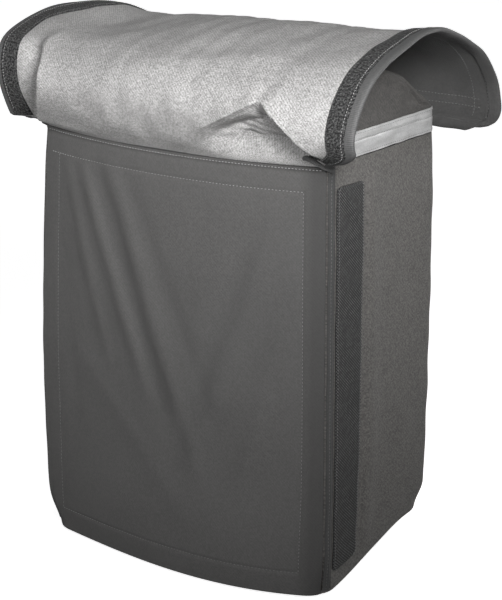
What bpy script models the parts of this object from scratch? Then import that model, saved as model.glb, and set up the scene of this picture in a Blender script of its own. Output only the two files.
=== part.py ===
"""Bicycle pannier bag: a soft upright bag with an arched lid flap and rack hooks.

Frame: the origin is the middle of the base, on the floor. +Z is up, the front
of the bag looks along -Y and the rack hooks stand out on +Y. Metres throughout.
"""
import math

import bmesh
import bpy
from mathutils import Matrix, Vector

# ---------------------------------------------------------------- bag
BAG_W = 0.330            # across the front
BAG_D = 0.190            # front corner to back panel
SEAM_Z = 0.418           # seam between the front panel and the lid flap
FABRIC = 0.003           # padded fabric of the panels
FRONT_BULGE = 0.016      # how far the middle of the front stands proud
GAP = 0.0003             # room between pieces that touch
EDGE_R = 0.012           # rounding under the front and the sides
REAR_EDGE_R = 0.040      # rounding under the back
REAR_CORNER_R = 0.018    # upright rear corners, in plan
PANEL_FOOT = 0.0033      # the panels start just above the base panel
BASE_GAP = 0.001         # the base panel ends this far inside the panels' outer faces
BACK_GAP = 0.0012        # room between the back panel and the ends of the side panels
BACK_TOP = SEAM_Z + 0.018   # top edge of the back panel
BACK_Y = BAG_D / 2       # outer face of the back panel

# ---------------------------------------------------------------- trims
PIPING_W = 0.012         # felled seam along each front corner
PIPING_T = 0.0012
HOOK_TAPE_W = 0.040
HOOK_TAPE_T = 0.002
HOOK_TAPE_START = 0.016  # from the front corner
BAND_W = 0.025           # reflective band
BAND_T = 0.001
COLLAR_T = 0.002
COLLAR_H = 0.076         # mouth above the seam at its front
COLLAR_DROOP = 0.058     # how much lower the mouth is at its rear corners
COLLAR_LEAN = 0.010      # the mouth leans in by this at its top
COLLAR_WRAP = 0.94       # share of the rear corner that the collar goes round
COLLAR_MIN = 0.004       # the mouth is never lower than this over its straight foot

# ---------------------------------------------------------------- lid flap
FLAP_T = 0.0025
LOOP_TAPE_W = 0.020
LOOP_TAPE_T = 0.0015
BINDING_W = 0.005
BINDING_T = 0.0035
BINDING_GAP = 0.0014     # room between the cloth's slanting edge and its binding
HEM_W = 0.012
HEM_T = 0.0035
TRIM_LIFT = 0.0005       # tapes and bindings stand this far off the cloth
SEAM_HALF_W = 0.1665     # half the flap's width where it is sewn in
WING_W = 0.033           # how much further each wing reaches
WING_SHARE = 0.38        # the wings are at full width from this share of the flap's length
EDGE_SHARE = 2.6         # how late the face turns from its middle profile to its edge profile
FLAP_ROWS = 22
FLAP_COLUMNS = 10        # between the two loop tapes
HINGE = Vector((0.0, -BAG_D / 2 - FRONT_BULGE, SEAM_Z + 0.0015))

# ---------------------------------------------------------------- rails and hooks
RAIL_Y = BACK_Y + 0.0005
RAIL_WEB = 0.002
RAIL_CAVITY = 0.0045
RAIL_LIP = 0.002
RAIL_H = 0.028
CAVITY_H = 0.020
SLOT_H = 0.012
SLIDE = 0.0004           # clearance of what slides in a rail
RAIL_FACE = RAIL_Y + RAIL_WEB + RAIL_CAVITY + RAIL_LIP
PLATE_Y = RAIL_FACE + SLIDE          # inner face of everything that rides on a rail

TUBE_Z = 0.362           # middle of the rack tube in the hooks
HOOK_X = 0.105
HOOK_W = 0.024
HOOK_WALL = 0.0045
THROAT = 0.0106          # half the width of the bare throat
CROWN = 0.011            # tube middle to the bare crown
THROAT_CHAMFER = 0.0045
INSERT_T = 0.0021
TUBE_Y = PLATE_Y + HOOK_WALL + THROAT
UPPER_RAIL_Z = TUBE_Z - 0.016
UPPER_RAIL_L = 0.284
LOWER_RAIL_Z = 0.100
LOWER_RAIL_L = 0.140

LATCH_PIVOT = Vector((-0.002, 0.020))  # from the tube middle, in (Y, Z)
LATCH_W = 0.006
LATCH_X = -0.002         # the lever sits beside its spring, nearer the bag's middle
LATCH_SLOT = 0.0108
PIN_R = 0.002
PIN_HOLE_R = 0.0023
SPRING_WIRE_R = 0.0005
SPRING_R = 0.0034
SPRING_TURNS = 3

ANCHOR_X = 0.063
ANCHOR_W = 0.010
BAIL_PIVOT = Vector((0.0, PLATE_Y + 0.006, UPPER_RAIL_Z - 0.008))
BAIL_HALF = 0.0525
BAIL_DROP = 0.055
BAIL_R = 0.002
GRIP_R = 0.007
GRIP_L = 0.070

SCREW_R = 0.002
SCREW_HEAD_R = 0.004
SCREW_HEAD_T = 0.002
SCREW_TIP_Y = 0.085
UPPER_SCREWS = (-0.1375, -0.012, 0.012, 0.1375)
LOWER_SCREWS = (-0.060, 0.060)

# ---------------------------------------------------------------- boards
BOARD_T = 0.003
BOARD_Y = BACK_Y - FABRIC - 0.0005     # outer face of the back board
STRIP_T = 0.002
STRIP_Y = BOARD_Y - BOARD_T - GAP
BASE_T = 0.003
BOARD_GAP = 0.0005       # room between a board and the cloth beside it
STIFFENER_T = 0.0012
BACK_BOARD_LOW = (-0.143, 0.046)       # (X, Z)
BACK_BOARD_HIGH = (0.143, 0.400)
BASE_BOARD_LOW = (-0.120, -0.065)      # (X, Y)
BASE_BOARD_HIGH = (0.120, 0.045)
BASE_BOARD_T = 0.002

LEFT, RIGHT = -1, 1
SIDES = (("left", LEFT), ("right", RIGHT))


# ================================================================ scene helpers
def clear_scene():
    """Remove every object, so that the script gives the same scene each time."""
    for thing in list(bpy.data.objects):
        bpy.data.objects.remove(thing, do_unlink=True)


def collection(name):
    """A new collection in the scene."""
    group = bpy.data.collections.new(name)
    bpy.context.scene.collection.children.link(group)
    return group


def finish(name, colour, roughness, metallic=0.0):
    """A Principled material with one colour."""
    made = bpy.data.materials.new(name)
    made.use_nodes = True
    shader = made.node_tree.nodes["Principled BSDF"]
    shader.inputs["Base Color"].default_value = (*colour, 1.0)
    shader.inputs["Roughness"].default_value = roughness
    shader.inputs["Metallic"].default_value = metallic
    return made


def part(name, mesh, material, origin=(0, 0, 0)):
    """One named sub-part. The mesh is in world places, and origin is its own zero."""
    mesh.transform(Matrix.Translation(-Vector(origin)))
    thing = bpy.data.objects.new(name, mesh)
    thing.location = origin
    mesh.materials.clear()
    mesh.materials.append(material)
    PARTS.objects.link(thing)
    return thing


def cutter(name, mesh):
    """A body that only cuts others."""
    thing = bpy.data.objects.new(name, mesh)
    thing.hide_render = True
    thing.display_type = "WIRE"
    CUTTERS.objects.link(thing)
    return thing


def cut(thing, tool):
    """Take the tool's body out of the part."""
    modifier = thing.modifiers.new("cut_" + tool.name, "BOOLEAN")
    modifier.operation = "DIFFERENCE"
    modifier.solver = "EXACT"
    modifier.object = tool


# ================================================================ mesh helpers
def grid_shell(name, columns, rows, place, thickness, material, origin=(0, 0, 0)):
    """A sheet of columns x rows faces, thickened inwards. place(i, j) gives its points."""
    bpy.ops.mesh.primitive_grid_add(x_subdivisions=columns, y_subdivisions=rows, size=1.0)
    sheet = bpy.context.object
    mesh = sheet.data
    for vertex in mesh.vertices:
        i = round((vertex.co.x + 0.5) * columns)
        j = round((vertex.co.y + 0.5) * rows)
        vertex.co = place(i, j)
    bpy.data.objects.remove(sheet)
    mesh.update()
    thing = part(name, mesh, material, origin)
    solid = thing.modifiers.new("thickness", "SOLIDIFY")
    solid.thickness = thickness
    solid.offset = -1.0
    solid.use_even_offset = True
    return thing


def turned_to(mesh, axis):
    """Turn a mesh that runs along Z so that it runs along the given axis."""
    turn = {"X": Matrix.Rotation(math.pi / 2, 4, "Y"),
            "Y": Matrix.Rotation(-math.pi / 2, 4, "X"),
            "Z": Matrix.Identity(4)}[axis]
    mesh.transform(turn)
    return mesh


def rod_mesh(radius, length, axis, middle, sides=24):
    """A plain round rod about its middle point."""
    shape = bmesh.new()
    bmesh.ops.create_cone(shape, cap_ends=True, segments=sides, radius1=radius,
                          radius2=radius, depth=length)
    mesh = bpy.data.meshes.new("rod")
    shape.to_mesh(mesh)
    shape.free()
    turned_to(mesh, axis)
    mesh.transform(Matrix.Translation(Vector(middle)))
    return mesh


def box_mesh(low, high):
    """A box between two corners."""
    low, high = Vector(low), Vector(high)
    shape = bmesh.new()
    bmesh.ops.create_cube(shape, size=1.0)
    bmesh.ops.scale(shape, vec=high - low, verts=shape.verts)
    bmesh.ops.translate(shape, vec=(high + low) / 2, verts=shape.verts)
    mesh = bpy.data.meshes.new("box")
    shape.to_mesh(mesh)
    shape.free()
    return mesh


def curve_mesh(data, merge=0.00001):
    """The closed mesh of a curve with its caps welded."""
    holder = bpy.data.objects.new("curve", data)
    bpy.context.scene.collection.objects.link(holder)
    bpy.context.view_layer.update()
    evaluated = holder.evaluated_get(bpy.context.evaluated_depsgraph_get())
    mesh = bpy.data.meshes.new_from_object(evaluated)
    bpy.data.objects.remove(holder)
    shape = bmesh.new()
    shape.from_mesh(mesh)
    bmesh.ops.remove_doubles(shape, verts=shape.verts, dist=merge)
    bmesh.ops.recalc_face_normals(shape, faces=shape.faces)
    shape.to_mesh(mesh)
    shape.free()
    return mesh


def poly_spline(data, points, closed):
    """Add a straight-sided spline through the points."""
    spline = data.splines.new("POLY")
    spline.points.add(len(points) - 1)
    for point, place in zip(spline.points, points):
        point.co = (*place, 1.0)
    spline.use_cyclic_u = closed


def outline_mesh(outline, thickness):
    """A flat closed outline in XY, thickened evenly to both sides along Z."""
    data = bpy.data.curves.new("outline", "CURVE")
    data.dimensions = "2D"
    data.fill_mode = "BOTH"
    data.extrude = thickness / 2
    poly_spline(data, [(x, y, 0.0) for x, y in outline], True)
    return curve_mesh(data)


# Outlines of hooks and rails are drawn in (Y, Z) and run along X.
YZ_PLANE = Matrix(((0, 0, 1, 0), (1, 0, 0, 0), (0, 1, 0, 0), (0, 0, 0, 1)))


def section_mesh(outline, width, middle):
    """An outline drawn in (Y, Z) about the middle point, as wide as said along X."""
    mesh = outline_mesh(outline, width)
    mesh.transform(Matrix.Translation(Vector(middle)) @ YZ_PLANE)
    return mesh


def tube_mesh(points, radius, resolution=2):
    """A round wire along straight runs between close points, with closed ends."""
    data = bpy.data.curves.new("wire", "CURVE")
    data.dimensions = "3D"
    data.bevel_depth = radius
    data.bevel_resolution = resolution
    data.use_fill_caps = True
    poly_spline(data, points, False)
    return curve_mesh(data)


def turned_part(name, profile, axis, middle, material, steps=20):
    """A turned piece. The profile is (radius, height) down its outer side."""
    shape = bmesh.new()
    previous = None
    for radius, height in profile:
        vertex = shape.verts.new((radius, 0.0, height))
        if previous:
            shape.edges.new((previous, vertex))
        previous = vertex
    mesh = bpy.data.meshes.new(name)
    shape.to_mesh(mesh)
    shape.free()
    thing = part(name, mesh, material)
    spin = thing.modifiers.new("turn", "SCREW")
    spin.steps = steps
    spin.render_steps = steps
    spin.use_merge_vertices = True
    spin.merge_threshold = 0.00005
    thing.location = middle
    if axis == "Y":
        thing.rotation_euler = (-math.pi / 2, 0, 0)
    elif axis == "X":
        thing.rotation_euler = (0, math.pi / 2, 0)
    return thing


def arc(centre, radius, start, end, steps):
    """Points on an arc in a plane, angles in degrees, both ends included."""
    points = []
    for step in range(steps + 1):
        angle = math.radians(start + (end - start) * step / steps)
        points.append((centre[0] + radius * math.cos(angle),
                       centre[1] + radius * math.sin(angle)))
    return points


def smooth_path(knots, count):
    """Evenly spaced points on a smooth curve through the knots, both ends included."""
    knots = [Vector(knot) for knot in knots]
    ends = [2 * knots[0] - knots[1]] + knots + [2 * knots[-1] - knots[-2]]
    fine = []
    for index in range(len(knots) - 1):
        a, b, c, d = ends[index:index + 4]
        for step in range(16):
            t = step / 16
            fine.append(0.5 * (2 * b + (c - a) * t + (2 * a - 5 * b + 4 * c - d) * t * t
                               + (3 * b - 3 * c + d - a) * t ** 3))
    fine.append(knots[-1])
    lengths = [0.0]
    for first, second in zip(fine, fine[1:]):
        lengths.append(lengths[-1] + (second - first).length)
    points = []
    index = 0
    for step in range(count):
        wanted = lengths[-1] * step / (count - 1)
        while index < len(fine) - 2 and lengths[index + 1] < wanted:
            index += 1
        run = lengths[index + 1] - lengths[index]
        points.append(fine[index].lerp(fine[index + 1], (wanted - lengths[index]) / run))
    return points


# ================================================================ bag surfaces
def inset(z, radius):
    """How far the rounding under the bag has pulled an outer face in at a height."""
    if z >= radius:
        return 0.0
    return radius - math.sqrt(radius ** 2 - (radius - z) ** 2)


def levels(top):
    """Heights of the rows of an upright panel: close together in its rounded foot."""
    foot = [PANEL_FOOT, 0.006, 0.010, 0.015, 0.022, 0.030, REAR_EDGE_R]
    rows = 8
    return foot + [REAR_EDGE_R + (top - REAR_EDGE_R) * (row + 1) / rows for row in range(rows)]


def front_point(x, z, depth=0.0):
    """A point of the front face, moved in by depth. The front bows out along X."""
    half = BAG_W / 2
    bow = FRONT_BULGE * (1 - (x / half) ** 2)
    slope = 2 * FRONT_BULGE * x / half ** 2
    normal = Vector((slope, -1.0)).normalized()
    y = -BAG_D / 2 - bow + inset(z, EDGE_R)
    if z < EDGE_R:
        rise = math.sqrt(EDGE_R ** 2 - (EDGE_R - z) ** 2) / EDGE_R
        drop = (EDGE_R - z) / EDGE_R
        return Vector((x - normal.x * depth * rise, y - normal.y * depth * rise,
                       z + depth * drop))
    return Vector((x - normal.x * depth, y - normal.y * depth, z))


def side_edges(z):
    """Front end, rear tangent and outer face of a side panel at a height."""
    front = -BAG_D / 2 + inset(z, EDGE_R) + FABRIC + GAP
    rear = BAG_D / 2 - inset(z, REAR_EDGE_R)
    return front, rear, BAG_W / 2 - inset(z, EDGE_R)


def side_point(fraction, z, side, out=0.0):
    """A point on the flat run of a side panel: fraction 0 at its front, 1 at the corner arc."""
    front, rear, face = side_edges(z)
    y = front + (rear - REAR_CORNER_R - front) * fraction
    return Vector((side * (face + out), y, z))


def corner_point(fraction, z, side, out=0.0):
    """A point on the upright rear corner: fraction 0 at the side, 1 at the back."""
    _, rear, face = side_edges(z)
    angle = fraction * math.pi / 2
    radius = REAR_CORNER_R + out
    x = face - REAR_CORNER_R + radius * math.cos(angle)
    y = rear - REAR_CORNER_R + radius * math.sin(angle)
    return Vector((side * x, y, z))


def mirrored(columns, side, index):
    """Column order that keeps the outer face outside on both sides of the bag."""
    return index if side == RIGHT else columns - index


# ================================================================ soft body
def make_front():
    """Front panel and the stiffener sewn behind it inside the stitched rectangle."""
    rows = levels(SEAM_Z)
    columns = 12

    def half_width(z):
        return BAG_W / 2 - inset(z, EDGE_R) - GAP

    def panel(i, j):
        return front_point((2 * i / columns - 1) * half_width(rows[j]), rows[j])

    grid_shell("front_panel", columns, len(rows) - 1, panel, FABRIC, SOFTSHELL)
    inner = rows[5:-1]

    def stiffener(i, j):
        x = (2 * (i + 1) / columns - 1) * half_width(inner[j])
        return front_point(x, inner[j], FABRIC + BOARD_GAP)

    grid_shell("front_stiffener", columns - 2, len(inner) - 1, stiffener, STIFFENER_T, BOARD)


def make_side(name, side):
    """Side panel with its rear corner, corner piping, hook tape, collar and band."""
    rows = levels(SEAM_Z)
    flat, bend = 5, 4
    columns = flat + bend

    def panel(i, j):
        i = mirrored(columns, side, i)
        if i <= flat:
            return side_point(i / flat, rows[j], side)
        return corner_point((i - flat) / bend, rows[j], side)

    grid_shell("side_panel_" + name, columns, len(rows) - 1, panel, FABRIC, SIDE_CLOTH)

    def strip(start, width, out, heights):
        def place(i, j):
            i = mirrored(1, side, i)
            front, _, face = side_edges(heights[j])
            y = front + start + width * i
            return Vector((side * (face + out), y, heights[j]))
        return place

    trim = rows[2:]
    trim[-1] = SEAM_Z - 0.001
    grid_shell("corner_piping_" + name, 1, len(trim) - 1,
               strip(0.0, PIPING_W, GAP + PIPING_T, trim), PIPING_T, PIPING)
    tape = rows[4:]
    tape[-1] = SEAM_Z - 0.018
    grid_shell("hook_tape_" + name, 1, len(tape) - 1,
               strip(HOOK_TAPE_START, HOOK_TAPE_W, GAP + HOOK_TAPE_T, tape),
               HOOK_TAPE_T, HOOK_TAPE)
    make_collar(name, side, flat, bend)


def collar_top(y):
    """Top line of the raised mouth: level in front, drooping to the rear corner."""
    droop = max(0.0, min(1.0, y / (BAG_D / 2)))
    return SEAM_Z + COLLAR_H - COLLAR_DROOP * droop ** 1.3


def make_collar(name, side, flat, bend):
    """The raised mouth above the side seam, with the reflective band outside it."""
    columns = flat + bend
    recess = -BAND_T - GAP
    foot = SEAM_Z + GAP
    band_top = foot + BAND_W
    rows = 6

    def collar(i, j):
        i = mirrored(columns, side, i)
        if i <= flat:
            base = side_point(i / flat, SEAM_Z, side, recess)
            inward = Vector((-side, 0, 0))
        else:
            fraction = COLLAR_WRAP * (i - flat) / bend
            base = corner_point(fraction, SEAM_Z, side, recess)
            turn = fraction * math.pi / 2
            inward = Vector((-side * math.cos(turn), -math.sin(turn), 0))
        top = collar_top(base.y)
        if j <= 1:
            z = foot + (band_top - foot) * min(j, 1)
            z = min(z, top - COLLAR_MIN)
            return Vector((base.x, base.y, z))
        share = (j - 1) / (rows - 1)
        start = min(band_top, top - COLLAR_MIN)
        z = start + (top - start) * share
        return Vector((base.x, base.y, z)) + inward * (COLLAR_LEAN * (z - start) / 0.05)

    grid_shell("side_collar_" + name, columns, rows, collar, COLLAR_T, SIDE_CLOTH)

    def band(i, j):
        i = mirrored(flat, side, i)
        point = side_point(i / flat, SEAM_Z, side)
        point.z = foot + (BAND_W - 0.001) * j
        return point

    grid_shell("reflective_band_" + name, flat, 1, band, BAND_T, REFLECTIVE)


def make_back_and_base():
    """Back panel, base panel, and the boards that stiffen them."""
    rows = levels(BACK_TOP)
    columns = 6

    def back(i, j):
        _, rear, face = side_edges(rows[j])
        half = face - REAR_CORNER_R - BACK_GAP
        return Vector((half - 2 * half * i / columns, rear, rows[j]))

    panel = grid_shell("back_panel", columns, len(rows) - 1, back, FABRIC, SIDE_CLOTH)
    (left, low), (right, high) = BACK_BOARD_LOW, BACK_BOARD_HIGH
    board = part("back_board", box_mesh((left, BOARD_Y - BOARD_T, low),
                                        (right, BOARD_Y, high)), BOARD)

    half = BAG_W / 2 - inset(PANEL_FOOT, EDGE_R) - BASE_GAP
    front = -BAG_D / 2 + inset(PANEL_FOOT, EDGE_R) + BASE_GAP
    rear = BAG_D / 2 - inset(PANEL_FOOT, REAR_EDGE_R) - BASE_GAP
    steps = 12
    spread = [1 - 2 * step / steps for step in range(steps + 1)]
    outline = [(half * share, front - FRONT_BULGE * (1 - share ** 2)) for share in spread]
    outline += arc((-half + REAR_CORNER_R, rear - REAR_CORNER_R), REAR_CORNER_R, 180, 90, 4)
    outline += arc((half - REAR_CORNER_R, rear - REAR_CORNER_R), REAR_CORNER_R, 90, 0, 4)
    mesh = outline_mesh(outline, BASE_T)
    mesh.transform(Matrix.Translation((0, 0, BASE_T / 2)))
    part("base_panel", mesh, SIDE_CLOTH)
    part("base_board", box_mesh((*BASE_BOARD_LOW, BASE_T + GAP),
                                (*BASE_BOARD_HIGH, BASE_T + GAP + BASE_BOARD_T)), BOARD)
    return panel, board


# ================================================================ lid flap
def flap_profiles():
    """(Y, height over the seam) of the flap's outer face, in the middle and at its sides."""
    middle = [(-0.111, 0.0018), (-0.129, 0.022), (-0.136, 0.046), (-0.126, 0.070),
              (-0.090, 0.090), (-0.035, 0.101), (0.020, 0.103), (0.070, 0.093),
              (0.108, 0.070), (0.126, 0.038), (0.130, 0.004)]
    edge = [(-0.098, 0.0018), (-0.115, 0.023), (-0.121, 0.047), (-0.112, 0.070),
            (-0.082, 0.091), (-0.035, 0.103), (0.020, 0.108), (0.070, 0.097),
            (0.115, 0.072), (0.143, 0.038), (0.150, 0.004)]
    return smooth_path(middle, FLAP_ROWS + 1), smooth_path(edge, FLAP_ROWS + 1)


def flap_half_width(along):
    """Half the flap's width between its bindings: it widens from the seam into wings."""
    spread = min(1.0, along / WING_SHARE)
    return SEAM_HALF_W + WING_W * math.sin(spread * math.pi / 2)


def flap_surface():
    """A function giving any point of the flap's outer face, at row j and X share s."""
    middle, edge = flap_profiles()

    def point(j, x):
        along = j / FLAP_ROWS
        share = min(1.0, abs(x) / flap_half_width(along)) ** EDGE_SHARE
        place = middle[j].lerp(edge[j], share)
        return Vector((x, place.x, SEAM_Z + place.y))

    return point


def flap_normal(surface, j, x):
    """The outward direction of the flap's face."""
    before, after = max(0, j - 1), min(FLAP_ROWS, j + 1)
    along = surface(after, x) - surface(before, x)
    across = surface(j, x + 0.004) - surface(j, x - 0.004)
    return across.cross(along).normalized()


def make_flap():
    """The lid flap with its loop tapes, edge bindings and rear hem. It turns at the seam."""
    surface = flap_surface()
    columns = FLAP_COLUMNS + 2

    def column_x(i, j):
        half = flap_half_width(j / FLAP_ROWS)
        inner = half - LOOP_TAPE_W
        if i == 0:
            return -half
        if i == columns:
            return half
        return -inner + 2 * inner * (i - 1) / FLAP_COLUMNS

    def cloth(i, j):
        return surface(j, column_x(i, j))

    grid_shell("lid_flap", columns, FLAP_ROWS, cloth, FLAP_T, FLAP_CLOTH, HINGE)

    for name, side in SIDES:
        near = columns - 1 if side == RIGHT else 0

        def tape(i, j, near=near):
            x = column_x(near + i, j)
            return surface(j, x) + flap_normal(surface, j, x) * (LOOP_TAPE_T + TRIM_LIFT)

        grid_shell("loop_tape_" + name, 1, FLAP_ROWS, tape, LOOP_TAPE_T, LOOP_TAPE, HINGE)

        def binding(i, j, side=side):
            half = flap_half_width(j / FLAP_ROWS)
            edge = surface(j, side * half) + flap_normal(surface, j, side * half) * TRIM_LIFT
            out = BINDING_GAP + BINDING_W * (i if side == RIGHT else 1 - i)
            return edge + Vector((side * out, 0, 0))

        grid_shell("edge_binding_" + name, 1, FLAP_ROWS, binding, BINDING_T, BINDING, HINGE)

    last = FLAP_ROWS

    def hem(i, j):
        x = column_x(i, last)
        end = surface(last, x)
        run = (end - surface(last - 1, x)).normalized()
        lift = flap_normal(surface, last, x) * TRIM_LIFT
        return end + lift + run * (BINDING_GAP + HEM_W * j)

    grid_shell("rear_hem", columns, 1, hem, HEM_T, BINDING, HINGE)


# ================================================================ rails
def rail_section():
    """A channel with lips, open towards +Y, drawn about its own middle height."""
    depth = RAIL_WEB + RAIL_CAVITY + RAIL_LIP
    return [(0, -RAIL_H / 2), (depth, -RAIL_H / 2), (depth, -SLOT_H / 2),
            (depth - RAIL_LIP, -SLOT_H / 2), (depth - RAIL_LIP, -CAVITY_H / 2),
            (RAIL_WEB, -CAVITY_H / 2), (RAIL_WEB, CAVITY_H / 2),
            (depth - RAIL_LIP, CAVITY_H / 2), (depth - RAIL_LIP, SLOT_H / 2),
            (depth, SLOT_H / 2), (depth, RAIL_H / 2), (0, RAIL_H / 2)]


def foot_section(middle_z):
    """The T foot of a piece that rides in a rail, from its top to its bottom edge."""
    neck_y = -(RAIL_LIP + 2 * SLIDE)
    head_y = neck_y - (RAIL_CAVITY - 2 * SLIDE)
    neck = SLOT_H / 2 - SLIDE
    head = CAVITY_H / 2 - SLIDE
    return [(0, middle_z + neck), (neck_y, middle_z + neck), (neck_y, middle_z + head),
            (head_y, middle_z + head), (head_y, middle_z - head), (neck_y, middle_z - head),
            (neck_y, middle_z - neck), (0, middle_z - neck)]


def make_rail(prefix, z, length, screws, panel, board):
    """A rail, the backing strip inside the bag, and the screws that join them."""
    rail = part(prefix + "_rail", section_mesh(rail_section(), length, (0, RAIL_Y, z)), ALUMINIUM)
    strip_half = max(screws) + 0.006
    strip = part(prefix + "_backing_strip",
                 box_mesh((-strip_half, STRIP_Y - STRIP_T, z - 0.009),
                          (strip_half, STRIP_Y, z + 0.009)), ALUMINIUM)
    head_y = RAIL_Y + RAIL_WEB + GAP
    for number, x in enumerate(screws, 1):
        hole = cutter(f"{prefix}_hole_{number}",
                      rod_mesh(PIN_HOLE_R, 0.040, "Y", (x, RAIL_Y - 0.010, z), 20))
        for thing in (rail, panel, board, strip):
            cut(thing, hole)
        length_y = head_y - SCREW_TIP_Y
        turned_part(f"{prefix}_rail_screw_{number}",
                    [(0, SCREW_HEAD_T), (SCREW_HEAD_R * 0.7, SCREW_HEAD_T),
                     (SCREW_HEAD_R, SCREW_HEAD_T * 0.55), (SCREW_HEAD_R, 0),
                     (SCREW_R, 0), (SCREW_R, -length_y + 0.0006),
                     (SCREW_R * 0.7, -length_y), (0, -length_y)],
                    "Y", (x, head_y, z), STEEL, 14)


# ================================================================ rack hooks
def throat(grow):
    """The inner line of the throat, moved in by grow, as half width, crown and chamfer."""
    chamfer = THROAT_CHAMFER - grow * (2 - math.sqrt(2))
    return THROAT - grow, CROWN - grow, chamfer


def hook_section():
    """A rack hook about the tube's middle: rail foot, wall, crown, pin boss and lip."""
    half, crown, chamfer = throat(0.0)
    outer = THROAT + HOOK_WALL
    top = CROWN + 0.006
    boss = 0.006
    inner = [(-half, -0.030), (-half, crown - chamfer), (-half + chamfer, crown),
             (half - chamfer, crown), (half, crown - chamfer), (half, -0.006)]
    tip = [(half + 0.002, -0.008), (outer, -0.006)]
    over = arc((outer - 0.005, top - 0.005), 0.005, 0, 90, 3)
    ear = [(LATCH_PIVOT.x + boss, top)]
    ear += arc(LATCH_PIVOT, boss, 0, 180, 8)
    ear += [(LATCH_PIVOT.x - boss, top)]
    front = arc((-outer + 0.004, top - 0.004), 0.004, 90, 180, 3)
    foot = [(y - outer, z) for y, z in foot_section(UPPER_RAIL_Z - TUBE_Z)]
    return [(-outer, -0.030)] + inner + tip + over + ear + front + foot


def latch_section():
    """The latch lever about the tube's middle: hub, tab, arm and the finger under the tube."""
    x, z = LATCH_PIVOT
    arm = THROAT + 0.0004
    outer = THROAT + HOOK_WALL - 0.0001
    return [(-0.006, -0.0135), (outer - 0.002, -0.0135), (outer, -0.0115), (outer, z - 0.004),
            (outer - 0.004, z - 0.0005), (x + 0.006, z + 0.0015), (x + 0.0036, z + 0.004),
            (x + 0.0026, z + 0.012), (x - 0.0024, z + 0.012), (x - 0.0034, z + 0.004),
            (x - 0.005, z), (x - 0.0035, z - 0.0038), (x, z - 0.005),
            (arm, z - 0.0051), (arm, -0.0095), (-0.006, -0.0095)]


def make_rack_hook(name, side):
    """One rack hook with its throat insert, latch lever, pin and torsion spring."""
    centre = Vector((side * HOOK_X, TUBE_Y, TUBE_Z))
    pivot = centre + Vector((0, LATCH_PIVOT.x, LATCH_PIVOT.y))
    hook = part("rack_hook_" + name, section_mesh(hook_section(), HOOK_W, centre),
                MOULDED, centre)
    bridge = CROWN + 0.0034
    lip = THROAT - 0.0002
    slot = [(-0.009, bridge), (lip, bridge), (lip, -0.010), (0.018, -0.010),
            (0.018, 0.032), (-0.009, 0.032)]
    cut(hook, cutter("latch_slot_" + name, section_mesh(slot, LATCH_SLOT, centre)))
    pin_hole = cutter("pin_hole_" + name, rod_mesh(PIN_HOLE_R, 0.04, "X", pivot))
    cut(hook, pin_hole)

    half, crown, chamfer = throat(GAP)
    inner_half, inner_crown, inner_chamfer = throat(GAP + INSERT_T)
    liner = [(-half, -0.008), (-half, crown - chamfer), (-half + chamfer, crown),
             (half - chamfer, crown), (half, crown - chamfer), (half, -0.005),
             (inner_half, -0.005), (inner_half, inner_crown - inner_chamfer),
             (inner_half - inner_chamfer, inner_crown), (-inner_half + inner_chamfer, inner_crown),
             (-inner_half, inner_crown - inner_chamfer), (-inner_half, -0.008)]
    part("hook_insert_" + name, section_mesh(liner, HOOK_W, centre), RUBBER, centre)

    lever = part("latch_lever_" + name,
                 section_mesh(latch_section(), LATCH_W, centre + Vector((side * LATCH_X, 0, 0))),
                 LEVER, pivot)
    cut(lever, pin_hole)
    part("latch_pin_" + name, rod_mesh(PIN_R, HOOK_W - 0.0006, "X", pivot), STEEL, pivot)

    start = LATCH_X + LATCH_W / 2 + 0.0008
    length = LATCH_SLOT / 2 - 0.0008 - start
    steps = SPRING_TURNS * 12
    coil = []
    for step in range(steps + 1):
        turn = 2 * math.pi * step / 12
        coil.append(pivot + Vector((side * (start + length * step / steps),
                                    SPRING_R * math.cos(turn), SPRING_R * math.sin(turn))))
    part("latch_spring_" + name, tube_mesh(coil, SPRING_WIRE_R, 1), STEEL, pivot)


# ================================================================ carry handle
def make_handle():
    """Two anchors in the upper rail, the wire bail that turns in them, and its grip."""
    pivot_y = BAIL_PIVOT.y - PLATE_Y
    drop = BAIL_PIVOT.z - UPPER_RAIL_Z
    block = [(0, -0.016), (pivot_y, -0.016)]
    block += arc((pivot_y, drop), 0.006, -60, 90, 6)
    block += [(0.003, 0.006), (0, 0.006)]
    foot = foot_section(0.0)
    for name, side in SIDES:
        middle = (side * ANCHOR_X, PLATE_Y, UPPER_RAIL_Z)
        anchor = part("handle_anchor_" + name, section_mesh(block + foot, ANCHOR_W, middle),
                      MOULDED)
        cut(anchor, cutter("bail_hole_" + name,
                           rod_mesh(PIN_HOLE_R, 0.03, "X",
                                    (side * ANCHOR_X, BAIL_PIVOT.y, BAIL_PIVOT.z))))
    bend, wide = 0.005, 0.016
    half = BAIL_HALF
    route = [(ANCHOR_X + 0.0035, 0)]
    route += arc((half + bend, -bend), bend, 90, 180, 4)
    route += arc((half - wide, -BAIL_DROP + wide), wide, 0, -90, 6)
    route += [(-x, z) for x, z in reversed(route)]
    points = [BAIL_PIVOT + Vector((x, 0, z)) for x, z in route]
    part("handle_bail", tube_mesh(points, BAIL_R), STEEL, BAIL_PIVOT)
    length = GRIP_L / 2
    bore = BAIL_R + 0.0004
    grip = turned_part("handle_grip",
                       [(bore, length), (GRIP_R - 0.0015, length), (GRIP_R, length - 0.0015),
                        (GRIP_R - 0.0006, 0), (GRIP_R, -length + 0.0015),
                        (GRIP_R - 0.0015, -length), (bore, -length), (bore, length)],
                       "X", BAIL_PIVOT + Vector((0, 0, -BAIL_DROP)), RUBBER, 20)
    return grip


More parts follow.
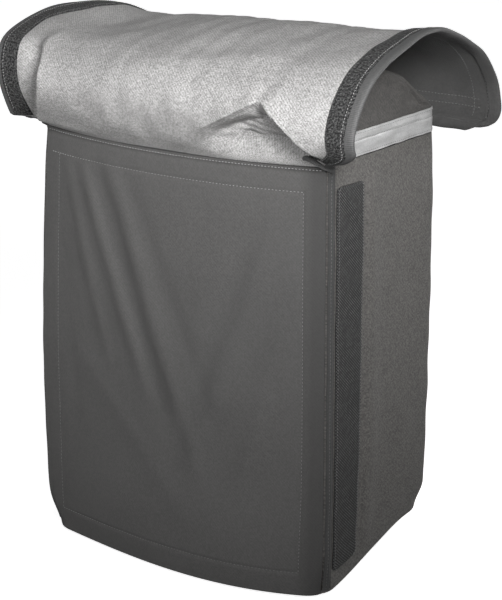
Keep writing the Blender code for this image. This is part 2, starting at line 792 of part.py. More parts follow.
# ================================================================ lower hook
def make_lower_hook():
    """A carrier that slides on the lower rail, with a hook that swivels on it."""
    middle = Vector((0, PLATE_Y, LOWER_RAIL_Z))
    plate_t = 0.004
    section = [(0, -0.014), (plate_t - 0.001, -0.014), (plate_t, -0.013), (plate_t, 0.013),
               (plate_t - 0.001, 0.014), (0, 0.014)] + foot_section(0.0)
    carrier = part("lower_carrier", section_mesh(section, HOOK_W, middle), MOULDED, middle)
    pivot_hole = cutter("lower_pivot_hole", rod_mesh(PIN_HOLE_R, 0.06, "Y", middle))
    cut(carrier, pivot_hole)

    start = plate_t + GAP
    leaf, gap, leg = 0.005, 0.013, 0.004
    far = start + leaf + gap + leg
    corner = 0.003
    jay = [(start, -0.034 + corner)] + arc((start + corner, -0.034 + corner), corner, 180, 270, 2)[1:]
    jay += arc((far - corner, -0.034 + corner), corner, 270, 360, 3)
    jay += [(far, -0.012), (far - leg, -0.012), (far - leg, -0.030), (start + leaf, -0.030),
            (start + leaf, 0.010), (start + leaf - 0.001, 0.011), (start, 0.011)]
    hook = part("lower_hook", section_mesh(jay, 0.018, middle), MOULDED, middle)
    cut(hook, pivot_hole)
    head = start + leaf + GAP
    turned_part("lower_pivot_screw",
                [(0, 0.0025), (0.0035, 0.0025), (0.005, 0.0012), (0.005, 0), (SCREW_R, 0),
                 (SCREW_R, -head - 0.0055), (0, -head - 0.0055)],
                "Y", middle + Vector((0, head, 0)), STEEL, 16)


# ================================================================ build
clear_scene()
PARTS = collection("pannier_bag")
CUTTERS = collection("cutters")

SOFTSHELL = finish("softshell", (0.110, 0.108, 0.105), 0.85)
SIDE_CLOTH = finish("side_cloth", (0.105, 0.096, 0.090), 0.90)
FLAP_CLOTH = finish("flap_cloth", (0.42, 0.42, 0.41), 0.55, 0.3)
PIPING = finish("piping", (0.070, 0.068, 0.066), 0.85)
HOOK_TAPE = finish("hook_tape", (0.060, 0.058, 0.056), 0.90)
LOOP_TAPE = finish("loop_tape", (0.045, 0.044, 0.044), 0.95)
BINDING = finish("binding", (0.160, 0.158, 0.155), 0.85)
REFLECTIVE = finish("reflective_tape", (0.44, 0.44, 0.43), 0.40, 0.3)
BOARD = finish("board", (0.020, 0.020, 0.021), 0.60)
ALUMINIUM = finish("anodised_aluminium", (0.050, 0.050, 0.052), 0.40, 0.9)
MOULDED = finish("moulded_plastic", (0.022, 0.022, 0.023), 0.50)
LEVER = finish("lever_plastic", (0.140, 0.140, 0.145), 0.45)
RUBBER = finish("rubber", (0.018, 0.018, 0.018), 0.80)
STEEL = finish("steel", (0.48, 0.48, 0.50), 0.30, 1.0)

make_front()
for side_name, side_sign in SIDES:
    make_side(side_name, side_sign)
back_panel, back_board = make_back_and_base()
make_flap()
make_rail("upper", UPPER_RAIL_Z, UPPER_RAIL_L, UPPER_SCREWS, back_panel, back_board)
make_rail("lower", LOWER_RAIL_Z, LOWER_RAIL_L, LOWER_SCREWS, back_panel, back_board)
for side_name, side_sign in SIDES:
    make_rack_hook(side_name, side_sign)
make_handle()
make_lower_hook()
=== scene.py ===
"""Looks of the pannier bag: cloth, trims, stitching, finishes, light and camera.

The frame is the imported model. Metres throughout, +Z up, the front looks along -Y.
"""

import math

import bpy
import numpy as np
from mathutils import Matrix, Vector


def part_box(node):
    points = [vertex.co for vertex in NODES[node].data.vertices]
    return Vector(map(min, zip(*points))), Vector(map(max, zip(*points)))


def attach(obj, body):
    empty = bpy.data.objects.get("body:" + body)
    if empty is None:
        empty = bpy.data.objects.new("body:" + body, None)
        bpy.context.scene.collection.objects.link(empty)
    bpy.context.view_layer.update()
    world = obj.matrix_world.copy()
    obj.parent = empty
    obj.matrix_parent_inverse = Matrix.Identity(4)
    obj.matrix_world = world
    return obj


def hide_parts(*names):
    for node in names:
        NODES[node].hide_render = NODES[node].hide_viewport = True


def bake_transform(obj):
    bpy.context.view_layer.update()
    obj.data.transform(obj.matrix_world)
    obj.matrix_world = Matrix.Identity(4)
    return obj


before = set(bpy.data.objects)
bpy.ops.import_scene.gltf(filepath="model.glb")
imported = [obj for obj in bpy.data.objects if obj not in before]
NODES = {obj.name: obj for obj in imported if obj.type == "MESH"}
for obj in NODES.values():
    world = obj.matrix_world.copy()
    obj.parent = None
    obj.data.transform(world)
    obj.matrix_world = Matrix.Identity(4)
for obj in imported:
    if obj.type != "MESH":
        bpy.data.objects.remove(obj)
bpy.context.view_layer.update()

# -------- sizes of the frame
FRONT_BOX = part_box("front_panel")
SIDE_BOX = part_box("side_panel_right")
BAND_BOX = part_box("reflective_band_right")
TAPE_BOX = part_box("hook_tape_right")
PIPING_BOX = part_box("corner_piping_right")
BACK_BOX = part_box("back_panel")

SEAM_Z = FRONT_BOX[1].z
HALF_W = SIDE_BOX[1].x              # outer face of the side cloth
BACK_Y = BACK_BOX[1].y              # outer face of the back cloth
CORNER_Y = -BACK_Y                  # where the front and the sides meet
BULGE = -FRONT_BOX[0].y - BACK_Y    # how far the middle of the front stands proud
EDGE_R = 0.005                      # rounding under the front and the sides
REAR_EDGE_R = 0.014                 # rounding under the back
REAR_CORNER_R = 0.016
CLOTH = 0.0024                      # thickness of the body cloth
FOOT_Z = FRONT_BOX[0].z
BACK_TOP = BACK_BOX[1].z

EDGE_GAP = 0.0006                   # the front stops this short of the sides' outer face
SIDE_GAP = 0.0012                   # the sides start this far behind the front's corner
QUARTER_TURN = REAR_CORNER_R * math.pi / 2      # length of cloth round a rear corner
LOOP_TAPE_W = 0.020
LOOP_TAPE_ROW = 5                   # row of the flap's grid where the loop tapes start
FLAP_CLOTH = 0.0018
# Outer face of the lid flap as (Y, height over the seam), in its middle and at both sides.
FLAP_MIDDLE = [(-0.1115, 0.0004), (-0.129, 0.022), (-0.136, 0.046), (-0.127, 0.070),
               (-0.091, 0.090), (-0.035, 0.100), (0.020, 0.102), (0.070, 0.092),
               (0.108, 0.069), (0.126, 0.036), (0.130, 0.002)]
FLAP_LEFT = [(-0.0965, 0.0004), (-0.100, 0.010), (-0.103, 0.022), (-0.116, 0.044),
             (-0.113, 0.064), (-0.090, 0.085), (-0.045, 0.0995), (0.010, 0.1015),
             (0.070, 0.091), (0.118, 0.068), (0.146, 0.036), (0.152, 0.002)]
FLAP_RIGHT = [(-0.099, 0.0004), (-0.1215, 0.020), (-0.1245, 0.040), (-0.108, 0.0685),
              (-0.080, 0.090), (-0.035, 0.104), (0.015, 0.111), (0.059, 0.100),
              (0.106, 0.077), (0.137, 0.047), (0.148, 0.008), (0.147, -0.003)]


# ======== small maths
def smooth(t):
    """A soft step from 0 to 1."""
    t = np.clip(t, 0.0, 1.0)
    return t * t * (3 - 2 * t)


def drift(a, b, size, seed, count=8):
    """Gentle irregular waves over two lengths, about -1 to 1, crests about size apart."""
    chance = np.random.default_rng(seed)
    total = np.zeros(np.broadcast(a, b).shape)
    for _ in range(count):
        angle = chance.uniform(0, 2 * math.pi)
        pace = 2 * math.pi / size * chance.uniform(0.55, 1.5)
        total += np.sin(pace * (a * math.cos(angle) + b * math.sin(angle))
                        + chance.uniform(0, 2 * math.pi))
    return total / math.sqrt(count * 1.6)


def unit(vectors):
    """The vectors, each scaled to a length of 1."""
    return vectors / np.linalg.norm(vectors, axis=-1, keepdims=True)


def lengths_of(path):
    """Length run along a path up to each of its points."""
    return np.r_[0, np.cumsum(np.linalg.norm(np.diff(path, axis=0), axis=1))]


def at_lengths(wanted, lengths, path):
    """The path's points, or what goes with them, at the wanted lengths."""
    return np.stack([np.interp(wanted, lengths, column) for column in path.T], -1)


def along_line(a, b, start, end):
    """Distance from a line, signed to its left, and the share run along it."""
    start, end = np.array(start, float), np.array(end, float)
    length = np.linalg.norm(end - start)
    run = (end - start) / length
    da, db = a - start[0], b - start[1]
    return run[0] * db - run[1] * da, (da * run[0] + db * run[1]) / length


def fold(a, b, start, end, width, taper=0.25):
    """A rounded ridge along a line, 1 on the line, dying out over width and at its ends."""
    across, run = along_line(a, b, start, end)
    ends = smooth(run / taper + 0.5) * smooth((1 - run) / taper + 0.5)
    return np.exp(-(across / width) ** 2) * ends


KNOT_STEPS = 24     # points worked out between two knots of a smooth curve


def even_path(knots, count):
    """Evenly spaced points on a smooth curve through the knots, both ends included."""
    knots = [np.array(knot, float) for knot in knots]
    ends = [2 * knots[0] - knots[1]] + knots + [2 * knots[-1] - knots[-2]]
    fine = []
    for index in range(len(knots) - 1):
        a, b, c, d = ends[index:index + 4]
        for t in np.arange(KNOT_STEPS) / KNOT_STEPS:
            fine.append(0.5 * (2 * b + (c - a) * t + (2 * a - 5 * b + 4 * c - d) * t * t
                               + (3 * b - 3 * c + d - a) * t ** 3))
    fine = np.array(fine + [knots[-1]])
    lengths = lengths_of(fine)
    return at_lengths(np.linspace(0, lengths[-1], count), lengths, fine)


def normals_of(grid):
    """Outward unit normals of a grid of points [row, column, xyz]."""
    across = np.gradient(grid, axis=1)
    along = np.gradient(grid, axis=0)
    normal = np.cross(across, along)
    return normal / np.maximum(np.linalg.norm(normal, axis=2, keepdims=True), 1e-12)


def pushed(grid, amount):
    """The grid moved out along its normals."""
    return grid + normals_of(grid) * np.asarray(amount)[..., None]


# ======== meshes
def placed(name, data):
    """A new object of the data, put in the scene."""
    thing = bpy.data.objects.new(name, data)
    bpy.context.scene.collection.objects.link(thing)
    return thing


def shell(name, grid, thickness, materials, body="bag", sharp=42, by_column=None):
    """A closed sheet: the grid is its outer face. Materials are outer, inner and rim.
    by_column gives the outer face's material for each column of faces instead."""
    rows, columns = grid.shape[:2]
    normal = normals_of(grid)
    inner = grid - normal * thickness
    points = np.concatenate([grid.reshape(-1, 3), inner.reshape(-1, 3)])
    index = np.arange(rows * columns).reshape(rows, columns)
    a, b = index[:-1, :-1].ravel(), index[:-1, 1:].ravel()
    c, d = index[1:, 1:].ravel(), index[1:, :-1].ravel()
    outer_faces = np.stack([a, b, c, d], 1)
    off = rows * columns
    inner_faces = np.stack([a, d, c, b], 1) + off
    ring = np.concatenate([index[0, :-1], index[:-1, -1], index[-1, :0:-1], index[:0:-1, 0]])
    following = np.roll(ring, -1)
    rim_faces = np.stack([ring, ring + off, following + off, following], 1)
    faces = np.concatenate([outer_faces, inner_faces, rim_faces])

    across = np.linalg.norm(np.diff(grid, axis=1), axis=2).mean(0)
    along = np.linalg.norm(np.diff(grid, axis=0), axis=2).mean(1)
    u = np.broadcast_to(np.r_[0, np.cumsum(across)], (rows, columns)).ravel()
    v = np.broadcast_to(np.r_[0, np.cumsum(along)][:, None], (rows, columns)).ravel()
    place = np.stack([np.r_[u, u], np.r_[v, v]], 1)

    mesh = bpy.data.meshes.new(name)
    mesh.vertices.add(len(points))
    mesh.vertices.foreach_set("co", points.astype(np.float32).ravel())
    mesh.loops.add(faces.size)
    mesh.loops.foreach_set("vertex_index", faces.astype(np.int32).ravel())
    mesh.polygons.add(len(faces))
    mesh.polygons.foreach_set("loop_start", np.arange(0, faces.size, 4, dtype=np.int32))
    mesh.update(calc_edges=True)
    layer = mesh.uv_layers.new(name="UVMap")
    layer.data.foreach_set("uv", place[faces.ravel()].astype(np.float32).ravel())
    for material in materials:
        mesh.materials.append(material)
    last = len(materials) - 1
    which = np.r_[np.zeros(len(outer_faces)), np.full(len(inner_faces), min(1, last)),
                  np.full(len(rim_faces), last)]
    if by_column:
        which[:len(outer_faces)] = np.tile(by_column, rows - 1)
    mesh.polygons.foreach_set("material_index", which.astype(np.int32))
    mesh.polygons.foreach_set("use_smooth", np.ones(len(faces), bool))
    mesh.validate()
    mesh.set_sharp_from_angle(angle=math.radians(sharp))
    thing = placed(name, mesh)
    if body:
        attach(thing, body)
    return thing


# A stitch's rings, as (share of the pitch, share of the thread's radius, radii it stands off).
STITCH_RINGS = [(-0.32, 0.35, -1.0), (-0.20, 1.0, 0.35), (0.20, 1.0, 0.35), (0.32, 0.35, -1.0)]
STITCH_SIDES = 5


def stitches(name, rows, material, body="bag", thread=0.00032):
    """Sewn thread: each row is (points, normals, pitch). Every stitch is a short sunk strand."""
    points, faces = [], []
    for path, outward, pitch in rows:
        lengths = lengths_of(path)
        count = max(1, int(lengths[-1] / pitch))
        for along in (np.arange(count) + 0.5) * lengths[-1] / count:
            spots = along + np.array([-1, 0, 1]) * pitch / 3
            behind, middle, ahead = at_lengths(spots, lengths, path)
            run = unit(ahead - behind)
            up = at_lengths(along, lengths, outward)
            up = unit(up - run * (up @ run))
            side = np.cross(run, up)
            first = len(points)
            for share, size, lift in STITCH_RINGS:
                centre = middle + run * share * pitch + up * lift * thread
                for turn in 2 * math.pi * np.arange(STITCH_SIDES) / STITCH_SIDES:
                    points.append(centre + (up * math.sin(turn) + side * math.cos(turn))
                                  * thread * size)
            for ring in range(len(STITCH_RINGS) - 1):
                for step in range(STITCH_SIDES):
                    a = first + ring * STITCH_SIDES + step
                    b = first + ring * STITCH_SIDES + (step + 1) % STITCH_SIDES
                    faces.append((a, b, b + STITCH_SIDES, a + STITCH_SIDES))
    mesh = bpy.data.meshes.new(name)
    mesh.from_pydata([tuple(p) for p in points], [], faces)
    mesh.polygons.foreach_set("use_smooth", np.ones(len(faces), bool))
    mesh.materials.append(material)
    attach(placed(name, mesh), body)


# ======== materials
class Surface:
    """The nodes of a material, or of the world, built up one at a time."""

    def __init__(self, name, world=None):
        self.material = world or bpy.data.materials.new(name)
        self.material.use_nodes = True
        self.tree = self.material.node_tree
        self.shader = self.tree.nodes["Background" if world else "Principled BSDF"]

    def feed(self, socket, value):
        if isinstance(value, bpy.types.NodeSocket):
            self.tree.links.new(value, socket)
        else:
            socket.default_value = value

    def node(self, kind, *values, **settings):
        """A new node with its settings; the values go to its first inputs in their order."""
        made = self.tree.nodes.new("ShaderNode" + kind)
        for key, value in settings.items():
            setattr(made, key, value)
        for socket, value in zip(made.inputs, values):
            self.feed(socket, value)
        return made

    def named(self, kind, **values):
        """A new node whose inputs are given by name."""
        made = self.node(kind)
        for key, value in values.items():
            self.feed(made.inputs[key], value)
        return made

    def math(self, operation, *values, clamp=False):
        return self.node("Math", *values, operation=operation, use_clamp=clamp).outputs[0]

    def times(self, value, factor):
        return self.math("MULTIPLY", value, factor)

    def weighed(self, *pairs):
        """Sum of values, each times its own weight."""
        total, *others = [self.times(value, weight) for value, weight in pairs]
        for part in others:
            total = self.math("ADD", total, part)
        return total

    def waves(self, a, b, pace):
        """Sine waves both ways over the cloth."""
        return self.times(self.math("SINE", self.times(a, pace)),
                          self.math("SINE", self.times(b, pace)))

    def uv(self):
        """The cloth's own two lengths in metres."""
        return self.node("SeparateXYZ", self.node("UVMap", uv_map="UVMap").outputs[0]).outputs[:2]

    def place(self):
        return self.node("TexCoord").outputs["Object"]

    def joined(self, x, y):
        return self.node("CombineXYZ", x, y).outputs[0]

    def noise(self, vector, scale, detail=2.0, rough=0.5):
        return self.named("TexNoise", Vector=vector, Scale=scale, Detail=detail,
                          Roughness=rough).outputs["Fac"]

    def stretched_noise(self, vector, scale):
        """Noise that is drawn out differently along X, Y and Z."""
        return self.noise(self.named("Mapping", Vector=vector, Scale=scale).outputs[0],
                          1.0, 3.0, 0.6)

    def random(self, a, b):
        """A random number for each pair of whole numbers."""
        pair = self.joined(self.math("FLOOR", a), self.math("FLOOR", b))
        return self.node("TexWhiteNoise", pair, noise_dimensions="2D").outputs["Value"]

    def specks(self, u, v, size):
        """A random number for each small square of the cloth."""
        return self.random(self.math("DIVIDE", u, size), self.math("DIVIDE", v, size))

    def spread(self, value, low, high, out_low, out_high):
        return self.node("MapRange", value, low, high, out_low, out_high,
                         clamp=True).outputs[0]

    def blend(self, share, first, second):
        made = self.node("Mix", share, data_type="RGBA", clamp_factor=True)
        self.feed(made.inputs[6], first)
        self.feed(made.inputs[7], second)
        return made.outputs[2]

    def bump(self, height, strength, distance, below=None):
        made = self.named("Bump", Strength=strength, Distance=distance, Height=height)
        if below:
            self.feed(made.inputs["Normal"], below)
        return made.outputs[0]

    def worn(self, high):
        """How worn a corner is: 1 where the surface is as sharp as high."""
        return self.spread(self.node("NewGeometry").outputs["Pointiness"], 0.50, high, 0.0, 1.0)

    def finish(self, colour, roughness, normal=None, **sockets):
        self.feed(self.shader.inputs["Base Color"], colour)
        self.feed(self.shader.inputs["Roughness"], roughness)
        if normal:
            self.feed(self.shader.inputs["Normal"], normal)
        for key, value in sockets.items():
            self.feed(self.shader.inputs[key.replace("_", " ")], value)
        return self.material


def grey(level, warm=0.0):
    """A linear grey, a little red where warm is above 0."""
    return (level * (1 + warm), level, level * (1 - warm), 1.0)


def cloth_material(name, dark, light, pitch, speckle, sheen, roughness, warm=0.0, twill=0.0,
                   bump=0.35, metallic=0.0, grain=0.0014, wrinkles=0.25, painted_shade_x=0.0):
    """Woven cloth: threads, random yarns, broad cloudiness, and twill lines if wanted. Where an X
    is given for it, shade is painted in: the cloth is darker on the right of that X."""
    s = Surface(name)
    u, v = s.uv()
    a, b = s.math("DIVIDE", u, pitch), s.math("DIVIDE", v, pitch)
    height = s.math("ABSOLUTE", s.waves(a, b, math.pi))
    yarn = s.specks(u, v, grain)
    place = s.place()
    clouds = s.math("SUBTRACT", s.noise(place, 14.0, 3.0, 0.6), 0.5)
    tone = s.weighed((yarn, speckle * 0.75), (s.random(a, b), speckle * 0.25), (height, 0.25),
                     (clouds, 0.12))
    if twill:
        slant = s.math("SINE", s.times(s.math("ADD", a, b), math.pi / 2))
        tone = s.math("ADD", tone, s.times(slant, twill))
        height = s.math("ADD", height, s.times(slant, twill * 2))
    share = s.math("ADD", tone, 0.5 - speckle / 2 - 0.12, clamp=True)
    colour = s.blend(share, grey(dark, warm), grey(light, warm))
    # Painted shade: to the right of the given X the cloth is darkened.
    if painted_shade_x:
        across = s.node("SeparateXYZ", place).outputs[0]
        edge = s.spread(across, painted_shade_x - 0.004, painted_shade_x + 0.010, 0.0, 0.42)
        colour = s.blend(edge, colour, grey(dark * 0.45, warm))
    wrinkle = s.noise(place, 55.0, 4.0, 0.55)
    normal = s.bump(wrinkle, wrinkles, 0.0012)
    normal = s.bump(height, bump, 0.0003, normal)
    rough = s.spread(yarn, 0.0, 1.0, roughness - 0.06, roughness + 0.06)
    return s.finish(colour, rough, normal, Metallic=metallic, Sheen_Weight=sheen,
                    Sheen_Roughness=0.45)


SILVER = cloth_material("silver_cloth", 0.12, 0.46, 0.0008, 0.70, 0.0, 0.62,
                        metallic=0.16, warm=0.012, bump=0.40, twill=0.10, grain=0.0011,
                        wrinkles=0.12)
# The softshell has painted shade on the right of its sewn rectangle.
SOFTSHELL = cloth_material("softshell", 0.026, 0.086, 0.0008, 0.40, 0.03, 0.78, warm=0.02,
                           bump=0.30, grain=0.0014, twill=0.04, painted_shade_x=0.143)
SIDE = cloth_material("side_weave", 0.034, 0.128, 0.0010, 0.90, 0.03, 0.78, warm=0.05,
                      twill=0.05, bump=0.5, grain=0.0013)
# The side weave darkened for the collar: painted shade from the flap above it.
PAINTED_SHADE_COLLAR = cloth_material("collar_weave_painted_shade", 0.018, 0.078, 0.0010, 0.70, 0.03, 0.78, warm=0.05,
                        twill=0.05, bump=0.5, grain=0.0013)
LINING = cloth_material("charcoal_lining", 0.030, 0.085, 0.0006, 0.40, 0.12, 0.66, warm=0.012,
                        bump=0.3, grain=0.0015)
# Near-black cloth for strips of painted shade in creases and along seams.
PAINTED_CREASE_SHADE = cloth_material("painted_crease_shade", 0.010, 0.022, 0.0006, 0.4, 0.1, 0.8, bump=0.3)


def ribbed_material(name, dark, light, pitch, roughness=0.6):
    """Grosgrain: ribs across a tape, with thread to thread variation."""
    s = Surface(name)
    u, v = s.uv()
    count = s.math("DIVIDE", v, pitch)
    rib = s.math("ABSOLUTE", s.math("SINE", s.times(count, math.pi)))
    tone = s.weighed((rib, 0.55), (s.specks(u, v, 0.0011), 0.3))
    colour = s.blend(tone, grey(dark), grey(light))
    return s.finish(colour, roughness, s.bump(rib, 0.6, 0.0003))


def fuzzy_material(name, dark, light, cell, depth, pairs=False):
    """Hook or loop tape: light fibre on dark, as tufts or, for the hooks, in paired dots."""
    s = Surface(name)
    u, v = s.uv()
    if pairs:
        a, b = s.math("DIVIDE", u, cell), s.math("DIVIDE", v, cell)
        height = s.spread(s.waves(a, b, 2 * math.pi), -0.2, 0.9, 0.0, 1.0)
        tuft = s.times(height, s.spread(s.random(a, b), 0, 1, 0.5, 1.0))
    else:
        tuft = s.noise(s.joined(u, v), 1 / cell, 3.0, 0.65)
        tuft = s.spread(tuft, 0.44, 0.64, 0.0, 1.0)
    colour = s.blend(tuft, grey(dark), grey(light))
    normal = s.bump(tuft, 0.9, depth)
    return s.finish(colour, 0.92, normal)


LOOP = fuzzy_material("loop_fibre", 0.002, 0.085, 0.0021, 0.0010)
HOOK = fuzzy_material("hook_fibre", 0.008, 0.122, 0.0030, 0.0006, pairs=True)
TAPE_EDGE = ribbed_material("tape_selvedge", 0.012, 0.034, 0.0008)
GROSGRAIN = ribbed_material("grosgrain", 0.030, 0.085, 0.0016)
PIPING = ribbed_material("piping_cloth", 0.026, 0.056, 0.0009, 0.7)


def band_material():
    """Silver reflective tape: fine glass grain, creases and a slight scuff."""
    s = Surface("reflective_tape")
    u, v = s.uv()
    scuff = s.noise(s.place(), 90.0, 4.0, 0.7)
    crease = s.noise(s.joined(s.times(u, 25.0), s.times(v, 420.0)), 1.0, 2.0, 0.5)
    tone = s.weighed((s.specks(u, v, 0.0009), 0.3), (scuff, 0.4), (crease, 0.5))
    colour = s.blend(s.math("SUBTRACT", tone, 0.1, clamp=True), grey(0.34), grey(0.68))
    normal = s.bump(crease, 0.4, 0.0006, s.bump(scuff, 0.2, 0.0004))
    return s.finish(colour, 0.36, normal, Metallic=0.45)


def thread_material(name, level):
    """Spun thread with a twist."""
    s = Surface(name)
    fibre = s.noise(s.place(), 2600.0, 2.0, 0.6)
    colour = s.blend(fibre, grey(level * 0.65), grey(level * 1.3))
    return s.finish(colour, 0.7, s.bump(fibre, 0.4, 0.0002), Sheen_Weight=0.3)


REFLECTIVE = band_material()
THREAD_LIGHT = thread_material("thread_light", 0.26)
THREAD_MID = thread_material("thread_mid", 0.12)
THREAD_DARK = thread_material("thread_dark", 0.022)


def metal_material(name, level, roughness, grain_scale):
    """Metal with a brushed or cast grain, and worn lighter edges."""
    s = Surface(name)
    place = s.place()
    grain = s.stretched_noise(place, grain_scale)
    tone = s.weighed((grain, 0.5), (s.noise(place, 60.0, 3.0, 0.6), 0.5))
    colour = s.blend(tone, grey(level * 0.82), grey(level * 1.12))
    colour = s.blend(s.times(s.worn(0.58), 0.35), colour, grey(level * 1.5))
    rough = s.spread(tone, 0.2, 0.8, roughness - 0.08, roughness + 0.08)
    return s.finish(colour, rough, s.bump(grain, 0.12, 0.0002), Metallic=1.0)


def plastic_material(name, level, roughness, grain_scale, bump, soft=False):
    """Moulded plastic or rubber: a spark-eroded grain and scuffed corners."""
    s = Surface(name)
    place = s.place()
    grain = s.noise(place, grain_scale, 3.0, 0.6)
    clouds = s.noise(place, 45.0, 3.0, 0.6)
    tone = s.weighed((grain, 0.5), (clouds, 0.5))
    colour = s.blend(tone, grey(level * 0.8), grey(level * 1.25))
    colour = s.blend(s.times(s.worn(0.60), 0.3), colour, grey(level * 2.6 + 0.02))
    rough = s.spread(clouds, 0.3, 0.7, roughness - 0.07, roughness + 0.07)
    return s.finish(colour, rough, s.bump(grain, bump, 0.0003),
                    Sheen_Weight=0.4 if soft else 0.0)


def board_material():
    """Stiffening board: faint rolling lines and fibre flecks."""
    s = Surface("board")
    place = s.place()
    lines = s.stretched_noise(place, (40.0, 40.0, 700.0))
    tone = s.weighed((lines, 0.5), (s.noise(place, 700.0, 2.0, 0.6), 0.5))
    return s.finish(s.blend(tone, grey(0.020), grey(0.060)), 0.6, s.bump(tone, 0.3, 0.0003))


ALUMINIUM = metal_material("anodised_aluminium", 0.16, 0.38, (8.0, 900.0, 900.0))
STEEL = metal_material("steel", 0.55, 0.27, (300.0, 300.0, 300.0))
PLASTIC = plastic_material("moulded_plastic", 0.020, 0.50, 900.0, 0.25)
LEVER = plastic_material("lever_plastic", 0.055, 0.45, 900.0, 0.2)
RUBBER = plastic_material("rubber", 0.014, 0.78, 1500.0, 0.4, soft=True)
BOARD = board_material()

# -------- hardware keeps its CAD shape
# A node takes the last material that one of its words asks for.
for words, material in (
        (("rail",), ALUMINIUM), (("screw", "pin", "spring", "bail"), STEEL),
        (("rack_hook", "anchor", "carrier", "lower_hook"), PLASTIC),
        (("lever",), LEVER), (("insert", "grip"), RUBBER),
        (("board", "stiffener", "strip"), BOARD)):
    for node_name, node in NODES.items():
        if any(word in node_name for word in words):
            node.data.materials.clear()
            node.data.materials.append(material)


# ======== shape of the bag
def pulled_in(z, radius):
    """How far the rounding under the bag pulls an outer face in at a height."""
    drop = np.clip(radius - z, 0, radius)
    return radius - np.sqrt(radius ** 2 - drop ** 2)


def settled(grid):
    """The bag as it stands: rounded lower corners, a foot that lifts towards each corner, and
    sides that belly out and narrow towards the seam."""
    x, y, z = grid[..., 0], grid[..., 1], grid[..., 2]
    low = smooth(1 - z / 0.055)
    out = grid.copy()
    for side, end, softness in ((-1, -1, 0.026), (1, -1, 0.016), (-1, 1, 0.034),
                                (1, 1, 0.034)):
        radius = 0.002 + softness * low
        a = (side * x - (HALF_W - radius)) / radius
        b = (end * y - (BACK_Y - radius)) / radius
        inside = (a > 0) & (b > 0)
        a, b = np.clip(a, 0, None), np.clip(b, 0, None)
        long = np.maximum(np.hypot(a, b), 1e-9)
        share = np.where(inside, np.maximum(a, b) / long, 1.0)
        share = 1 + (share - 1) * low
        out[..., 0] = np.where(inside, side * (HALF_W - radius + a * share * radius),
                               out[..., 0])
        out[..., 1] = np.where(inside, end * (BACK_Y - radius + b * share * radius),
                               out[..., 1])
    reach = (np.abs(x) / HALF_W) ** 4
    lift = 0.001 + 0.030 * smooth((y + BACK_Y + 0.005) / 0.150) + 0.006 * smooth(y / 0.08)
    out[..., 2] = z + lift * reach * smooth(1 - z / 0.12)
    belly = 0.0045 * np.sin(np.pi * np.clip((z - 0.01) / (SEAM_Z - 0.01), 0, 1)) ** 0.8
    narrow = np.where(x > 0, -0.0022, 0.0085) * smooth((z - 0.18) / (SEAM_Z - 0.18))
    behind = np.where(x > 0, smooth((y + BACK_Y - 0.004) / 0.07), 1.0)
    out[..., 0] += np.sign(x) * (belly - narrow) * behind * np.abs(x / HALF_W) ** 3
    return out


def foot_rows(top, count):
    """Heights from the foot to a top edge, closer together in the rounded foot."""
    share = np.linspace(0, 1, count)
    return FOOT_Z + (top - FOOT_Z) * (share * 0.75 + share ** 2 * 0.25)


STAND_OFF = 0.0016      # slack that keeps the cloth in front of its stiffener
SEAM_SAG = 0.0028       # how much lower the seam hangs in the middle of the front

# Sewn rectangle on the front, where the stiffener is stitched in.
PANEL_TOP, PANEL_FOOT, PANEL_SIDE = 0.393, 0.026, 0.143


def rectangle_distance(x, z):
    """Distance of a point of the front from the sewn rectangle."""
    a = np.abs(x) - PANEL_SIDE
    middle, half = (PANEL_TOP + PANEL_FOOT) / 2, (PANEL_TOP - PANEL_FOOT) / 2
    b = np.abs(z - middle) - half
    outside = np.hypot(np.maximum(a, 0), np.maximum(b, 0))
    return np.abs(outside + np.minimum(np.maximum(a, b), 0))


# Soft creases of the front: both ends as (X, Z), their width, and how deep they go in.
FRONT_CREASES = [
    ((-0.132, 0.395), (-0.075, 0.200), 0.009, 0.0022),
    ((-0.112, 0.400), (-0.030, 0.190), 0.010, 0.0030),
    ((-0.090, 0.395), (-0.005, 0.150), 0.010, -0.0026),
    ((-0.070, 0.395), (0.030, 0.120), 0.011, 0.0028),
    ((-0.045, 0.380), (0.050, 0.160), 0.010, -0.0016),
    ((0.110, 0.350), (0.025, 0.110), 0.012, 0.0020),
    ((0.090, 0.340), (-0.005, 0.090), 0.012, -0.0020),
    ((0.134, 0.300), (0.070, 0.060), 0.010, 0.0018),
    ((-0.138, 0.330), (-0.120, 0.120), 0.009, -0.0016),
    ((-0.120, 0.210), (0.020, 0.060), 0.013, 0.0015),
    ((0.128, 0.150), (0.060, 0.050), 0.010, -0.0014)]


def front_surface(x, z):
    """Outer face of the front cloth, with its bow, its sag and its sewn lines."""
    bow = BULGE * (1 - (x / HALF_W) ** 2)
    bow = bow + 0.012 * smooth(1 - z / 0.13) * (1 - (x / HALF_W) ** 2) * (1 + x / HALF_W)
    slack = 1 - (np.abs(x) / HALF_W) ** 4
    held = smooth((SEAM_Z - z) / 0.05) * smooth(z / 0.03)
    sag = 0.0012 * drift(x, z * 0.6, 0.16, 11) + 0.0007 * drift(x, z * 0.8, 0.07, 12)
    for start, end, width, size in FRONT_CREASES:
        sag += size * fold(x, z, start, end, width, 0.45)
    sag = STAND_OFF * np.logaddexp(0, sag / STAND_OFF + 1.0)
    groove = 0.0007 * np.exp(-(rectangle_distance(x, z) / 0.0014) ** 2)
    groove = groove * np.where(x < -0.12, 0.35, 1.0)
    hem = 0.0008 * np.exp(-((SEAM_Z - 0.0065 - z) / 0.0018) ** 2)
    puff = 0.0012 * np.exp(-((SEAM_Z - 0.0022 - z) / 0.0022) ** 2)
    y = CORNER_Y - bow + pulled_in(z, EDGE_R) - sag * slack * held + groove + hem - puff
    drop = SEAM_SAG * (1 - (x / HALF_W) ** 2) * smooth((z - 0.25) / (SEAM_Z - 0.25))
    return settled(np.stack([x, y, z - drop], -1))


def straight_side(z):
    """Y of a side's front end, and how far it runs straight back from there, at heights."""
    front = CORNER_Y + pulled_in(z, EDGE_R) + SIDE_GAP
    return front, BACK_Y - pulled_in(z, REAR_EDGE_R) - REAR_CORNER_R - front


